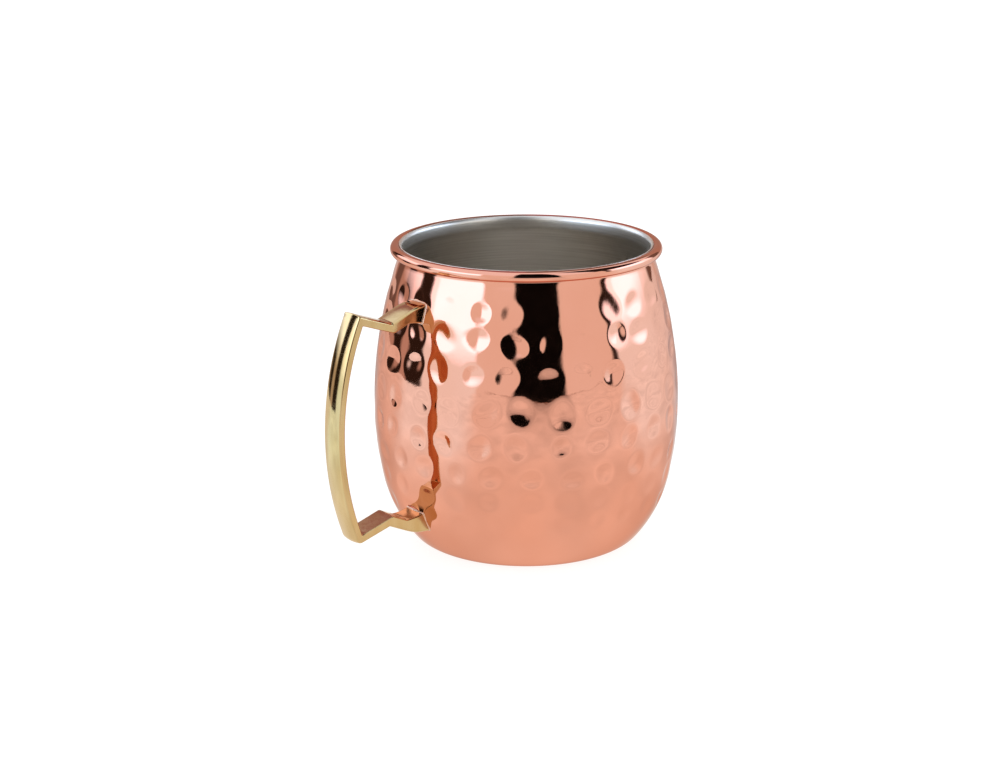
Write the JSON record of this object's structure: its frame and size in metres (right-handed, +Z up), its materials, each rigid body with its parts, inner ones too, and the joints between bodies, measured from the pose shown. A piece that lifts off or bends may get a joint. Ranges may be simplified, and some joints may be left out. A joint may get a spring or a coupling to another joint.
{
  "type": "hammered copper mug",
  "caption": "Barrel-shaped hammered copper mug with a nested steel liner, a rolled rim and a brazed cast brass handle.",
  "frame": {"origin": "centre of the standing ring, on the table", "axes": "+Z up along the mug's axis; the handle points along -X"},
  "size_m": [0.1219, 0.095, 0.094],
  "materials": {
    "copper": "polished, lacquered",
    "steel": "brushed round the axis",
    "brass": "polished casting",
    "braze": "satin"
  },
  "bodies": {
    "root": {"copper_shell": "copper", "steel_liner": "steel", "handle": "brass", "upper_braze": "braze", "lower_braze": "braze"}
  },
  "joints": []
}
